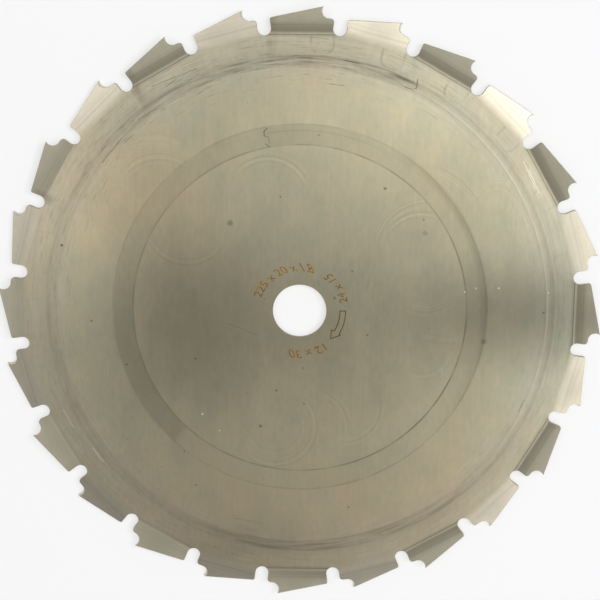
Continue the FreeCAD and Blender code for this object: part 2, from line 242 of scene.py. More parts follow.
def sectorMesh():
    vertices, faces, finishes = [], [], []

    def corner(point, height):
        vertices.append((point.x * mm * bladeSizes["fit"], point.y * mm * bladeSizes["fit"], height * mm))
        return len(vertices) - 1

    def strip(lower, upper, finish):
        # Quads between two rows of corners, facing outwards when the rows run anticlockwise
        for i in range(len(lower) - 1):
            faces.append((lower[i], lower[i + 1], upper[i + 1], upper[i]))
            finishes.append(finish[i] if isinstance(finish, list) else finish)

    steps = bladeSizes["sectorSteps"]
    first = 90 - 1.5 * pitch
    edge = bladeSizes["edgeBreak"]
    turns = [first + 2 * pitch * i / steps for i in range(steps + 1)]
    rows = {}
    for face in (up, down):
        points, folds = rimOutline(face)
        outline = [p[0] for p in points]
        inner = inset(outline, edge)
        heights = [heightOf(p, points[i][1], points[i][2], face) for i, p in enumerate(inner)]
        rows[face] = [corner(p, heights[i]) for i, p in enumerate(inner)]
        heights = [heightOf(p, points[i][1], points[i][2], face) for i, p in enumerate(outline)]
        rows[face, "wall"] = [corner(p, heights[i] - face * edge) for i, p in enumerate(outline)]
        onFile = [p[3] and points[i + 1][3] for i, p in enumerate(points[:-1])]
        wall = [filedFront if filed else punchedEdge for filed in onFile]
        # The flat between the die ring and the rim, split along the folds
        rimSteps = bladeSizes["rimSteps"]
        radii = [dieEdge + (inner[0].length - dieEdge) * i / rimSteps for i in range(rimSteps + 1)]
        seamOut = [turned(Vector((0, r)), turns[0]) for r in radii[:-1]]
        seamIn = [turned(Vector((0, r)), turns[-1]) for r in radii[-2::-1]]
        alongRing = [turned(Vector((0, dieEdge)), t) for t in turns[-2:0:-1]]
        loop = inner + seamIn + alongRing + seamOut
        lines = [pair for pair in folds.values() if len(pair) == 2]
        whole = [list(range(len(loop)))]
        found, _, triangles, source, _, _ = delaunay_2d_cdt(loop, lines, whole, 1, sameSpot / 10)
        names = {}
        for i, point in enumerate(found):
            given = [s for s in source[i] if s < len(inner)]
            names[i] = rows[face][given[0]] if given else corner(point, face * halfThick)
        for triangle in triangles:
            ordered = [names[i] for i in triangle]
            faces.append(ordered if face == up else ordered[::-1])
            finishes.append(groundFace)
        # The plate, from the bore out to the die ring, with both pressed rings
        deep, step = bladeSizes["pressedDepth"], bladeSizes["stepWidth"]
        broken = bladeSizes["boreBreak"]
        profile = [(boreRadius, halfThick - broken), (boreRadius + broken, halfThick)]
        for middle, width in (("trackRadius", "trackWidth"), ("dieRadius", "dieWidth")):
            start = bladeSizes[middle] - bladeSizes[width] / 2
            end = bladeSizes[middle] + bladeSizes[width] / 2
            profile += [(start, halfThick), (start + step, halfThick - deep)]
            profile += [(end - step, halfThick - deep), (end, halfThick)]
        rings = [[corner(turned(Vector((0, r)), t), face * z) for t in turns] for r, z in profile]
        rows[face, "bore"] = rings[0]
        for inside, outside in zip(rings, rings[1:]):
            lower, upper = (outside, inside) if face == up else (inside, outside)
            strip(lower, upper, groundFace)
    strip(rows[up, "wall"], rows[up], wall)
    strip(rows[down, "wall"], rows[up, "wall"], wall)
    strip(rows[down], rows[down, "wall"], wall)
    strip(rows[up, "bore"], rows[down, "bore"], punchedEdge)
    mesh = bpy.data.meshes.new("bladeSector")
    mesh.from_pydata(vertices, [], faces)
    mesh.attributes.new("finish", "INT", "FACE").data.foreach_set("value", finishes)
    mesh.polygons.foreach_set("use_smooth", [True] * len(faces))
    return mesh


def repeatTree(materials):
    # Turns copies of one sector round the bore's axis, welds their seams and gives each face its finish
    tree = bpy.data.node_groups.new("repeatRoundTheBore", "GeometryNodeTree")
    shown = tree.interface
    shown.new_socket("Geometry", in_out="INPUT", socket_type="NodeSocketGeometry")
    shown.new_socket("Geometry", in_out="OUTPUT", socket_type="NodeSocketGeometry")
    shown.new_socket("Tooth Pairs", in_out="INPUT", socket_type="NodeSocketInt")
    shown.new_socket("Weld Distance", in_out="INPUT", socket_type="NodeSocketFloat")
    shown.new_socket("Crisp Angle", in_out="INPUT", socket_type="NodeSocketFloat")
    add = partial(addNode, tree)
    given = add("NodeGroupInput").outputs
    centres = add("GeometryNodePoints", given["Tooth Pairs"])
    share = add("Math", 2 * math.pi, given["Tooth Pairs"], operation="DIVIDE")
    turn = add("Math", add("GeometryNodeInputIndex"), share, operation="MULTIPLY")
    turns = add("CombineXYZ", 0.0, 0.0, turn)
    copies = add("GeometryNodeInstanceOnPoints", centres, None, given["Geometry"], None, None, turns)
    whole = add("GeometryNodeRealizeInstances", copies)
    blade = add("GeometryNodeMergeByDistance", whole, None, given["Weld Distance"])
    angle = add("GeometryNodeInputMeshEdgeAngle")
    larger = {"data_type": "FLOAT", "operation": "GREATER_THAN"}
    crisp = add("FunctionNodeCompare", angle, given["Crisp Angle"], **larger)
    blade = add("GeometryNodeSetShadeSmooth", blade, crisp, False, domain="EDGE")
    finish = add("GeometryNodeInputNamedAttribute", "finish", data_type="INT")
    for wanted, material in enumerate(materials):
        chosen = add("FunctionNodeCompare", finish, wanted, data_type="INT", operation="EQUAL")
        blade = add("GeometryNodeSetMaterial", blade, chosen, material)
    add("NodeGroupOutput", blade)
    return tree


def plainMesh(source, name):
    # The evaluated object as a mesh of its own, at the origin, with nothing live on it
    evaluated = source.evaluated_get(bpy.context.evaluated_depsgraph_get())
    mesh = bpy.data.meshes.new_from_object(evaluated)
    made = bpy.data.objects.new(name, mesh)
    mesh.name = name
    scene.collection.objects.link(made)
    bpy.data.objects.remove(source)
    return made


def makeBlade(materials):
    draft = bpy.data.objects.new("bladeDraft", sectorMesh())
    scene.collection.objects.link(draft)
    repeat = draft.modifiers.new("repeat", "NODES")
    repeat.node_group = repeatTree(materials)
    values = {"Tooth Pairs": bladeSizes["toothPairs"], "Weld Distance": bladeSizes["weld"] * mm,
              "Crisp Angle": math.radians(bladeSizes["crispAngle"])}
    for item in repeat.node_group.interface.items_tree:
        if item.name in values:
            repeat[item.identifier] = values[item.name]
    level = draft.modifiers.new("levelShading", "WEIGHTED_NORMAL")
    level.keep_sharp = True
    level.weight = 90
    return plainMesh(draft, "groundBlade")


steelLook = {
    "cool": "b4b29a", "warm": "bdae90",  # the ground face is greyer to one side and browner to the other
    "rimShift": (1.0, 1.0, 1.05),  # the pressed rim is a little cleaner than the plate inside it
    "upTooth": "bcb6a0", "downTooth": "b2ab9a",
    # the dark colour is for dirt and for painted shade, the bright one for bright marks and painted glints
    "soilAndShade": "35301f", "bright": "fbf7ea",
    "warmth": (0.28, 0.6), "tarnishWarmth": 0.9,  # how brown the face is over a cloud, and over tarnish
    "paintedTipSheen": 1.13,  # a painted sheen makes a tooth this much brighter at its tip
    "roughness": 0.36, "dirtRoughness": 0.12,
    "grindDepth": 0.1, "bumpHeight": 0.02, "dirtDepth": -1.5,
}

# What each pattern follows, its cycles a millimetre along each axis, and its detail
patterns = {
    "cloud": ("flat", (1 / 45, 1 / 60, 0), 3),
    "tarnish": ("flat", (1 / 9, 1 / 16, 0), 6),
    "grinding": ("flat", (1.6, 0.035, 0), 3),  # real lines are about ten a millimetre, drawn coarser to show
    "bands": ("flat", (0.16, 0.012, 0), 2),
    "mottle": ("flat", (1 / 14, 1 / 22, 0), 4),
    "wipes": ("flat", (0.6, 0.25, 0), 4),
    "smear": ("ring", (1 / 14, 1 / 14, 1.2), 5),
    "wear": ("ring", (1 / 16, 1 / 16, 0.3), 3),
    "foldLines": ("tooth", (0.05, 1.5, 1), 3),
    "ragged": ("flat", (0.5, 0.5, 0), 2),
    "patchy": ("flat", (0.16, 0.16, 0), 2),
    "dashes": ("ring", (1 / 7, 1 / 7, 1.9), 2),
}
patternShift = 17.0  # moves each pattern away from the one before it
toothPatternShift = 7.3  # and each tooth's away from that of the tooth beside it
ringPatternRadius = 95.0  # where a pattern that follows the ring has its true scale

# The levels of a pattern's noise between which a mask made from it comes in
noiseSpan = {
    "cloud": (0.3, 0.7), "wear": (0.3, 0.62), "smear": (0.36, 0.64), "patchy": (0.36, 0.56),
    "dashes": (0.6, 0.7), "wheel": (0.3, 0.7),
}

# How much each pattern varies the brightness of the plate, of the pressed rim and of the teeth
variation = {
    "plate": {"grinding": 0.12, "bands": 0.08, "mottle": 0.2, "wipes": 0.2, "tarnish": 0.24},
    "rim": {"smear": 0.34, "mottle": 0.2, "wipes": 0.24},
    "teeth": {"foldLines": 0.2, "patchy": 0.1, "wipes": 0.1},
}

# Where one look passes into the next, in millimetres: by radius, or along a tooth from the bore's axis
borders = {
    "rim": (84, 92), "dashes": (80, 88),
    "upFold": (foldLine - 0.1, foldLine + 0.1),  # an up tooth begins sharply at its fold
    "downFold": (foldLine - 2, foldLine + 3.4),  # the outer side of a down tooth's fold is drawn out
    "plateEnd": (foldLine - 0.6, foldLine - 1.2),
    "toothShadeAndDirt": (100.6, 101.2), "paintedTipSheen": (105.5, 110.5), "dieRoot": (94.6, 95.6),
}

# Dirt that the roll and the dies leave, with painted shade outside the track ring and painted glints beside
# the die lines, by distance from the bore's axis
dirtShadeAndGlintsByRadius = {
    "trackLines": [(62.1, 0), (62.35, 1), (62.6, 0), (69.5, 0), (69.75, 0.75), (70.0, 0)],
    "trackFill": [(62.3, 0), (62.6, 1), (69.5, 1), (69.9, 0)],
    "secondLine": [(67.05, 0), (67.35, 1), (67.65, 0)],
    # painted shade along the outer edge of the track ring
    "outerShade": [(66.8, 0), (69.4, 1), (69.9, 0.6), (71.0, 0)],
    "dieBand": [
        (90.4, 0), (91.2, 0.85), (91.7, 0.3), (92.2, 1), (93.2, 0.65), (94.4, 1), (95.0, 0.4), (96.3, 0.2),
        (98.5, 0),
    ],
    "dieLines": [(91.5, 0), (91.8, 1), (92.1, 0), (94.6, 0), (94.9, 1), (95.2, 0)],
    # painted glints: highlights beside the die lines
    "dieGlints": [(92.1, 0), (92.4, 1), (92.7, 0), (95.2, 0), (95.5, 1), (95.8, 0)],
}

# The same dirt, painted shade and painted glints by angle, in degrees from +X
dirtShadeAndGlintsByTurn = {
    "lineTurn": [
        (-180, 0.6), (-110, 0.65), (-70, 0.85), (-40, 1), (10, 0.8), (40, 0.65), (90, 0.8), (140, 0.6),
        (180, 0.6),
    ],
    "trackTurn": [
        (-180, 0.24), (-134, 0.3), (-131.5, 0.02), (-60, 0.02), (-20, 0.08), (10, 0.14), (35, 0.06),
        (62, 0.1), (85, 0.2), (101.5, 0.22), (103, 0.16), (140, 0.12), (160, 0.12), (180, 0.24),
    ],
    "secondTurn": [(35, 0), (60, 0.12), (80, 0.3), (100, 0.3), (102, 0)],
    # the painted shade outside the track ring, only towards the right
    "shadeTurn": [(-40, 0), (5, 0.24), (45, 0.24), (62, 0)],
    "dieTurn": [
        (-180, 0.22), (-125, 0.2), (-100, 0.38), (-70, 0.42), (-50, 0.3), (-28, 0.08), (50, 0.08),
        (63.4, 0.3), (64.2, 0.5), (90, 0.52), (110, 0.42), (128, 0.28), (150, 0.18), (180, 0.22),
    ],
    "dieLineTurn": [(-180, 0.1), (-60, 0.12), (0, 0.24), (60, 0.3), (100, 0.2), (180, 0.1)],
    "markTurn": [(-180, 0.15), (0, 0.15), (35, 0.35), (52, 1), (92, 1), (100, 0.2), (180, 0.2)],
    "smudgeTurn": [(-180, 0.2), (60, 0.2), (85, 1), (150, 1), (180, 0.3)],
    "dashTurn": [(-180, 0.3), (-60, 0.15), (40, 0.3), (100, 0.8), (125, 1), (150, 0.6), (180, 0.3)],
}

# Painted shade in and past the fold of a tooth bent up, and faint dark streaks on a tooth bent down, by
# distance along a tooth
shadeAndDirtByTooth = {
    "upTooth": [
        (100.9, 0), (101.8, 0.22), (102.1, 0.7), (102.35, 0.25), (102.6, 0.05), (103.0, 0.2), (103.4, 0.5),
        (104.6, 0.46), (105.3, 0.36), (105.6, 0.44), (106.2, 0.22), (107.0, 0.08), (108, 0),
    ],
    "downTooth": [(105.2, 0), (105.7, 0.14), (106.1, 0), (106.9, 0), (107.1, 0.08), (107.4, 0)],
}

# What each set of dirt, painted shade and painted glints follows, and the span that its ramps cover
dirtShadeAndGlintSpans = [
    ("radius", 0, 120, dirtShadeAndGlintsByRadius), ("turn", -180, 180, dirtShadeAndGlintsByTurn), ("along", 100, 113, shadeAndDirtByTooth),
]
dirtAndGlintStrength = {"trackLines": 0.8, "dieGlints": 0.5, "dashes": 0.45}  # all other kinds show in full

# An up tooth's fold is painted with darker shade on one side of the blade than the other: the way that side
# faces, and its two levels
foldShade = {"facing": (0.94, 0.34, 0), "span": (-0.75, -0.15), "levels": (0.15, 1.0)}

# Broad duller and brighter places of painted sheen, standing in for the studio's reflection on the plate and
# the teeth, then browner places: middle, half widths and by how much
paintedSheen = [
    ((85, 0), (65, 30), -0.45), ((5, -5), (110, 50), -0.25), ((-45, -5), (45, 65), -0.3),
    ((30, 70), (75, 45), 0.25), ((90, 50), (30, 30), 0.2), ((-85, 30), (35, 50), 0.2),
    ((-25, -95), (60, 20), -0.15),
]
paintedToothSheen = [
    ((30, 105), (15, 15), -0.2), ((-30, 105), (15, 15), -0.1), ((75, 75), (15, 15), -0.05),
    ((105, -30), (15, 15), -0.2), ((110, 0), (15, 15), -0.25), ((75, -75), (15, 15), -0.1),
    ((-55, -95), (15, 15), -0.15), ((0, -110), (15, 15), -0.1), ((95, 55), (15, 15), -0.05),
]
brown = [
    ((105, 0), (75, 60), -0.4), ((-15, -90), (105, 70), 0.4), ((-65, 45), (50, 50), 0.3),
    ((60, -80), (60, 50), 0.2),
]

# Arcs of the polishing wheel: middle, radius, the way the arc's middle faces, and half its span
wheelArcs = [
    (47, 23, 19, 130, 50), (45, 22, 15, 110, 45), (40, 27, 28, 50, 30), (47, 14, 12, -90, 50),
    (55, 13, 23, -95, 25), (46, -14, 11, -60, 60), (-52, 40, 18, 100, 50), (-54, 41, 23, 90, 35),
    (-12, 42, 15, 80, 60), (-42, 33, 14, -95, 65), (-9, -45, 14, -40, 95), (-9, -45, 11, -60, 110),
    (17, -37, 13, -40, 55), (3, -46, 14, 30, 45), (48, 8, 22, 180, 35), (72, 42, 6, 60, 120),
]
wheelLines = {
    "halfBand": 4.5, "perMillimetre": 0.9, "strength": 0.16, "edge": 0.05, "halfEdge": 0.6, "fade": 0.25,
}

# Single marks, each from one place to another: half width, and how dark, or how bright below zero
scratches = [
    (81.5, 57, 86, 47, 0.25, -0.5), (83.5, 54, 87.5, 45.5, 0.3, -0.6),
    (-89.5, -39.5, -85.5, -46.5, 0.3, -0.4), (-78.5, -54.5, -74.5, -60, 0.35, -0.45),
    (85, -33.5, 83, -38, 0.25, 0.5), (10.5, 84.5, 15.5, 84, 0.2, 0.5),
    (-73, 55, -65.5, 64, 0.3, 0.5), (-59.5, 71, -52.5, 75, 0.25, 0.5), (-54.5, 83, -38, 89.5, 0.25, 0.5),
    (-17, 91, -5, 91.5, 0.2, 0.45), (-24.5, -82, -13.5, -84, 0.25, 0.25), (-27, -5, -15.5, -9.5, 0.5, 0.15),
    (42, 86.5, 41.5, 83, 0.35, 0.7), (37.5, 83.5, 41.5, 83, 0.3, 0.4), (-12.5, 68, -13.5, 67, 0.4, 0.7),
    (-13.5, 67, -13.5, 65.5, 0.4, 0.7), (-13.5, 65.5, -12, 65, 0.3, 0.5), (-12, 65, -11.5, 63, 0.3, 0.45),
    (-13, 62.5, -11.5, 61.5, 0.35, 0.6),
]

# Stains, pits and stuck dust: middle, half width, and how dark, or how bright below zero
spots = [
    (-26, 33, 1.6, 0.5), (31, 46.5, 0.8, 0.7), (46, 30, 1.4, 0.3), (69, -11, 1.5, 0.4),
    (-14.5, -45, 0.9, 0.6), (-88.5, 24, 0.8, 0.75), (-7.5, 43, 0.5, 0.7), (-8.5, -31, 0.6, 0.6),
    (2, -36, 0.5, 0.55),
    (1.5, -22, 0.6, 0.45), (25.5, -9, 0.5, 0.6), (-43.5, -55.5, 0.5, 0.6), (61.5, 8, 0.4, -0.6),
    (65.5, 9.5, 0.35, -0.5), (74, 9.5, 0.45, -0.7), (-36.5, -40.5, 0.6, -0.9), (-30, -47, 0.5, -0.7),
    (92.5, 8, 0.35, -0.6),
]
raggedEdge = 0.8  # how far an outline of a scratch or a spot strays
spotCore = 0.3  # the share of a spot's half width that is fully dark
specks = {"cell": 6.5, "pits": 0.16, "pitShare": 0.04, "pitStrength": 0.5}

# The outline that the bending die leaves at a root, and the dirt behind a tooth that is bent up
dieMark = {"side": -7.4, "halfWidth": 1.0, "foot": 98.6, "round": 3.1, "line": 0.8, "strength": 0.26}
rootSmudge = {"side": 11.0, "halfWidth": 3.2, "from": 93.0, "to": 103.0, "strength": 0.4}

soft = {"interpolation_type": "SMOOTHSTEP"}
plus = {"operation": "MULTIPLY_ADD"}
minus = {"operation": "SUBTRACT"}
times = {"operation": "MULTIPLY"}


def bladePlace(add):
    # Where a point of the blade lies, in millimetres and degrees, worked out from its Object coordinates
    place = add("TexCoord").outputs["Object"]
    flat = add("VectorMath", place, (1 / mm, 1 / mm, 0), **times)
    radius = add("VectorMath", flat, operation="LENGTH")
    heading = add("VectorMath", flat, operation="NORMALIZE")
    parts = add("SeparateXYZ", flat).outputs
    turn = add("Math", parts["Y"], parts["X"], operation="ARCTAN2")
    # Teeth are counted from +X, an even one is bent up
    count = add("Math", turn, bladeSizes["toothPairs"] / math.pi, 0.5, **plus)
    number = add("Math", count, operation="FLOOR")
    odd = add("Math", number, 2.0, operation="FLOORED_MODULO")
    share = add("Math", count, number, **minus)
    local = add("Math", share, math.radians(pitch), -math.radians(pitch / 2), **plus)
    along = add("Math", radius, add("Math", local, operation="COSINE"), **times)
    across = add("Math", radius, add("Math", local, operation="SINE"), **times)
    # Round the bore a pattern has no seam, because it follows the heading
    rim = add("VectorMath", heading, ringPatternRadius, operation="SCALE")
    ring = add("VectorMath", rim, add("CombineXYZ", 0.0, 0.0, radius), operation="ADD")
    tooth = add("CombineXYZ", across, along, add("Math", number, toothPatternShift, **times))
    degrees = add("Math", turn, 180 / math.pi, **times)
    return {"flat": flat, "radius": radius, "heading": heading, "turn": degrees, "ring": ring, "tooth": tooth,
            "odd": odd, "along": along, "across": across}


def around(add, at, middle, halfWidths, amount, elsewhere):
    # A broad soft patch: its own amount in the middle, fading to another round it
    away = add("VectorMath", at["flat"], (*middle, 0), **minus)
    scaled = add("VectorMath", away, (1 / halfWidths[0], 1 / halfWidths[1], 0), **times)
    distance = add("VectorMath", scaled, operation="LENGTH")
    return add("MapRange", distance, 0.0, 1.0, amount, elsewhere, **soft)


def wheelArc(add, at, x, y, radius, facing, halfSpan):
    # A soft band of fine lines round the wheel's middle with one lighter line in it, as a factor
    away = add("VectorMath", at["flat"], (x, y, 0), **minus)
    distance = add("VectorMath", away, operation="LENGTH")
    off = add("Math", add("Math", distance, radius, **minus), operation="ABSOLUTE")
    towards = (math.cos(math.radians(facing)), math.sin(math.radians(facing)), 0)
    outwards = add("VectorMath", away, operation="NORMALIZE")
    ahead = add("VectorMath", outwards, towards, operation="DOT_PRODUCT")
    ends = math.cos(math.radians(halfSpan))
    shown = add("MapRange", ahead, ends, min(1.0, ends + wheelLines["fade"]), 0.0, 1.0, **soft)
    lines = add("TexNoise", distance, wheelLines["perMillimetre"], 2.0, noise_dimensions="1D")
    half = wheelLines["strength"] / 2
    lines = add("MapRange", lines, *noiseSpan["wheel"], -half, half)
    band = add("MapRange", off, 0.0, wheelLines["halfBand"], 1.0, 0.0, **soft)
    edge = add("MapRange", off, 0.0, wheelLines["halfEdge"], wheelLines["edge"], 0.0, **soft)
    return add("Math", add("Math", lines, band, edge, **plus), shown, 1.0, **plus)


def steelTone(add, at, noise, zones):
    # Brightness: each pattern's own share about its middle, then the broad patches of painted sheen and the
    # wheel's arcs
    tones = {}
    for zone, parts in variation.items():
        tones[zone] = 1 - sum(parts.values()) / 2
        for name, amount in parts.items():
            tones[zone] = add("Math", noise[name], amount, tones[zone], **plus)
    plate = add("Mix", zones["rim"], tones["plate"], tones["rim"], data_type="FLOAT")
    for middle, halfWidths, amount in paintedSheen:
        plate = add("Math", plate, around(add, at, middle, halfWidths, 1 + amount, 1.0), **times)
    for arc in wheelArcs:
        plate = add("Math", plate, wheelArc(add, at, *arc), **times)
    # Painted sheen on the teeth: brighter towards each tip, and duller on some teeth
    tipSheen = add("MapRange", at["along"], *borders["paintedTipSheen"], 1.0, steelLook["paintedTipSheen"])
    teeth = add("Math", tones["teeth"], tipSheen, **times)
    for middle, halfWidths, amount in paintedToothSheen:
        teeth = add("Math", teeth, around(add, at, middle, halfWidths, 1 + amount, 1.0), **times)
    return add("Mix", zones["tooth"], plate, teeth, data_type="FLOAT")


def steelTint(add, at, noise, zones):
    # Colour: greyer or browner over the plate, and a little more neutral on the bent teeth
    warmth = add("MapRange", noise["cloud"], *noiseSpan["cloud"], *steelLook["warmth"])
    tarnish = add("Math", noise["tarnish"], 0.5, **minus)
    warmth = add("Math", tarnish, steelLook["tarnishWarmth"], warmth, **plus)
    for middle, halfWidths, amount in brown:
        warmth = add("Math", warmth, around(add, at, middle, halfWidths, amount, 0.0), operation="ADD")
    plate = add("Mix", warmth, linear(steelLook["cool"]), linear(steelLook["warm"]), data_type="RGBA")
    shift = add("Mix", zones["rim"], (1, 1, 1, 1), (*steelLook["rimShift"], 1), data_type="RGBA")
    plate = add("VectorMath", plate, shift, **times)
    upTint, downTint = linear(steelLook["upTooth"]), linear(steelLook["downTooth"])
    teeth = add("Mix", at["odd"], upTint, downTint, data_type="RGBA")
    return add("Mix", zones["tooth"], plate, teeth, data_type="RGBA")


def dirtShadeAndGlintLevels(add, at):
    # Each kind of dirt, painted shade and painted glint as a ramp over the distance or the angle that it
    # follows
    levels = {}
    for follows, low, high, kinds in dirtShadeAndGlintSpans:
        share = add("MapRange", at[follows], low, high, 0.0, 1.0)
        for name, stops in kinds.items():
            levels[name] = add("ValToRGB", share, stops=[((x - low) / (high - low), v) for x, v in stops])
    return levels


def ringDirtShadeAndGlints(add, at, noise, zones, level):
    # Dirt in and beside both pressed rings, with painted shade outside the track ring and painted glints
    # beside the die lines, as masks with how strong each is
    worn = add("MapRange", noise["wear"], *noiseSpan["wear"], 0.4, 1.0, **soft)
    lines = add("Math", add("Math", level["trackLines"], level["lineTurn"], **times), worn, **times)
    dark = [(lines, dirtAndGlintStrength["trackLines"])]
    # The last of these bands is painted shade outside the track ring
    for band, turn in (("trackFill", "trackTurn"), ("secondLine", "secondTurn"), ("outerShade", "shadeTurn")):
        dark.append((add("Math", level[band], level[turn], **times), 1))
    smeared = add("MapRange", noise["smear"], *noiseSpan["smear"], 0.2, 1.6)
    band = add("Math", add("Math", level["dieBand"], level["dieTurn"], **times), smeared, **times)
    dark.append((add("Math", band, zones["plate"], **times), 1))
    lines = add("Math", add("Math", level["dieLines"], level["dieLineTurn"], **times), worn, **times)
    dark.append((add("Math", lines, zones["plate"], **times), 1))
    # Painted glints beside the die lines
    glints = add("Math", add("Math", level["dieGlints"], level["dieLineTurn"], **times), worn, **times)
    light = [(add("Math", glints, zones["plate"], **times), dirtAndGlintStrength["dieGlints"])]
    # Short scratches along the rim
    dashes = add("MapRange", noise["dashes"], *noiseSpan["dashes"], 0.0, 1.0)
    dashes = add("Math", dashes, add("MapRange", at["radius"], *borders["dashes"], 0.0, 1.0), **times)
    dashes = add("Math", add("Math", dashes, level["dashTurn"], **times), zones["plate"], **times)
    dark.append((dashes, dirtAndGlintStrength["dashes"]))
    return dark, light


def toothShadeAndDirt(add, at, level):
    # Painted shade inside the folds of the teeth bent up, and faint dark streaks on those bent down
    forward = add("VectorMath", at["heading"], foldShade["facing"], operation="DOT_PRODUCT")
    facing = add("MapRange", forward, *foldShade["span"], *foldShade["levels"], **soft)
    upShade = add("Math", level["upTooth"], facing, **times)
    both = add("Mix", at["odd"], upShade, level["downTooth"], data_type="FLOAT")
    near = add("MapRange", at["along"], *borders["toothShadeAndDirt"], 0.0, 1.0)
    return [(add("Math", both, near, **times), 1)]


def rootMarks(add, at, noise, zones, level):
    # The bending die leaves a round-ended outline at some teeth's roots, behind the leading gullet
    side = add("Math", add("Math", at["across"], dieMark["side"], **minus), operation="ABSOLUTE")
    side = add("Math", add("Math", side, dieMark["halfWidth"], **minus), 0.0, operation="MAXIMUM")
    below = add("Math", add("Math", dieMark["foot"], at["along"], **minus), 0.0, operation="MAXIMUM")
    off = add("VectorMath", add("CombineXYZ", side, below, 0.0), operation="LENGTH")
    off = add("Math", add("Math", off, dieMark["round"], **minus), operation="ABSOLUTE")
    outline = add("MapRange", off, 0.0, dieMark["line"], 1.0, 0.0, **soft)
    root = add("Math", add("MapRange", at["along"], *borders["dieRoot"], 0.0, 1.0), zones["plate"], **times)
    patchy = add("MapRange", noise["patchy"], *noiseSpan["patchy"], 0.2, 1.0, **soft)
    outline = add("Math", outline, root, **times)
    outline = add("Math", outline, add("Math", patchy, level["markTurn"], **times), **times)
    # Dirt lies behind the root of a tooth that is bent up
    side = add("Math", add("Math", at["across"], rootSmudge["side"], **minus), operation="ABSOLUTE")
    smudge = add("MapRange", side, 0.0, rootSmudge["halfWidth"], 1.0, 0.0, **soft)
    outwards = add("MapRange", at["radius"], rootSmudge["from"], rootSmudge["to"], 0.0, 1.0)
    smudge = add("Math", smudge, outwards, **times)
    smudge = add("Math", smudge, add("Math", 1.0, at["odd"], **minus), **times)
    smudge = add("Math", smudge, add("Math", patchy, level["smudgeTurn"], **times), **times)
    return [(outline, dieMark["strength"]), (smudge, rootSmudge["strength"])]


def singleMarks(add, at, noise, zones):
    # Scratches, stains and pits with ragged outlines, the dark ones first and then the bright ones
    dark, light = [], []
    sway = add("VectorMath", noise["ragged"].outputs["Color"], (0.5, 0.5, 0.5), **minus)
    point = add("VectorMath", sway, (raggedEdge, raggedEdge, 0), at["flat"], **plus)
    for x, y, toX, toY, width, strength in scratches:
        length = math.hypot(toX - x, toY - y)
        ahead = ((toX - x) / length, (toY - y) / length, 0)
        away = add("VectorMath", point, (x, y, 0), **minus)
        reach = add("Clamp", add("VectorMath", away, ahead, operation="DOT_PRODUCT"), 0.0, length)
        nearest = add("VectorMath", ahead, reach, operation="SCALE")
        off = add("VectorMath", away, nearest, operation="DISTANCE")
        line = add("MapRange", off, 0.0, width, 1.0, 0.0, **soft)
        (dark if strength > 0 else light).append((line, abs(strength)))
    for x, y, width, strength in spots:
        off = add("VectorMath", point, (x, y, 0), operation="DISTANCE")
        spot = add("MapRange", off, width * spotCore, width, 1.0, 0.0, **soft)
        (dark if strength > 0 else light).append((spot, abs(strength)))
    cells = add("TexVoronoi", at["flat"], 1 / specks["cell"], voronoi_dimensions="2D").outputs
    chance = add("SeparateColor", cells["Color"]).outputs[0]
    size = add("MapRange", chance, 1 - specks["pitShare"], 1.0, 0.0, specks["pits"] / specks["cell"] * 3)
    pit = add("Math", cells["Distance"], size, operation="LESS_THAN")
    dark.append((add("Math", pit, zones["plate"], **times), specks["pitStrength"]))
    return dark, light


def covered(add, masks):
    # How much of the metal all the masks together hide
    kept = 1.0
    for mask, strength in masks:
        kept = add("Math", kept, add("Math", mask, -strength, 1.0, **plus), **times)
    return add("Math", 1.0, kept, **minus)


def groundSteel():
    # Cold rolled spring steel, ground satin and then used: soft broad painted sheens, greyer to the right and
    # browner below, faint upright grinding lines, arcs of the polishing wheel, dirt where roll and
    # dies have pressed, and painted shade in the teeth's folds and outside the track ring
    made, tree = newMaterial("groundSpringSteel")
    add = partial(addNode, tree)
    at = bladePlace(add)
    noise = {}
    for seed, (name, (follows, scale, detail)) in enumerate(patterns.items()):
        place = add("VectorMath", at[follows], scale, (patternShift * seed,) * 3, **plus)
        noise[name] = add("TexNoise", place, 1.0, detail)
    onUp = add("MapRange", at["along"], *borders["upFold"], 0.0, 1.0)
    onDown = add("MapRange", at["along"], *borders["downFold"], 0.0, 1.0, **soft)
    zones = {
        "tooth": add("Mix", at["odd"], onUp, onDown, data_type="FLOAT"),
        "rim": add("MapRange", at["radius"], *borders["rim"], 0.0, 1.0, **soft),
        "plate": add("MapRange", at["along"], *borders["plateEnd"], 0.0, 1.0),
    }
    tint = steelTint(add, at, noise, zones)
    metal = add("VectorMath", tint, steelTone(add, at, noise, zones), operation="SCALE")

    level = dirtShadeAndGlintLevels(add, at)
    ringDark, ringLight = ringDirtShadeAndGlints(add, at, noise, zones, level)
    markDark, markLight = singleMarks(add, at, noise, zones)
    roots = rootMarks(add, at, noise, zones, level)
    # Dark marks: real dirt, stains and pits, with painted shade in the teeth's folds and outside the track
    # ring
    darkened = covered(add, ringDark + toothShadeAndDirt(add, at, level) + roots + markDark)
    # Bright marks: painted glints beside the die lines, with bright scratches and stuck dust
    shiny = covered(add, ringLight + markLight)
    soiledAndShaded = add("Mix", darkened, metal, linear(steelLook["soilAndShade"]), data_type="RGBA")
    colour = add("Mix", shiny, soiledAndShaded, linear(steelLook["bright"]), data_type="RGBA")

    rough = add("Math", darkened, steelLook["dirtRoughness"], steelLook["roughness"], **plus)
    height = add("Math", darkened, steelLook["dirtDepth"], noise["grinding"], **plus)
    bump = add("Bump", steelLook["grindDepth"], steelLook["bumpHeight"] * mm, None, height)
    shader = add("BsdfPrincipled", colour, 1.0, rough, None, None, bump)
    add("OutputMaterial", shader)
    return made


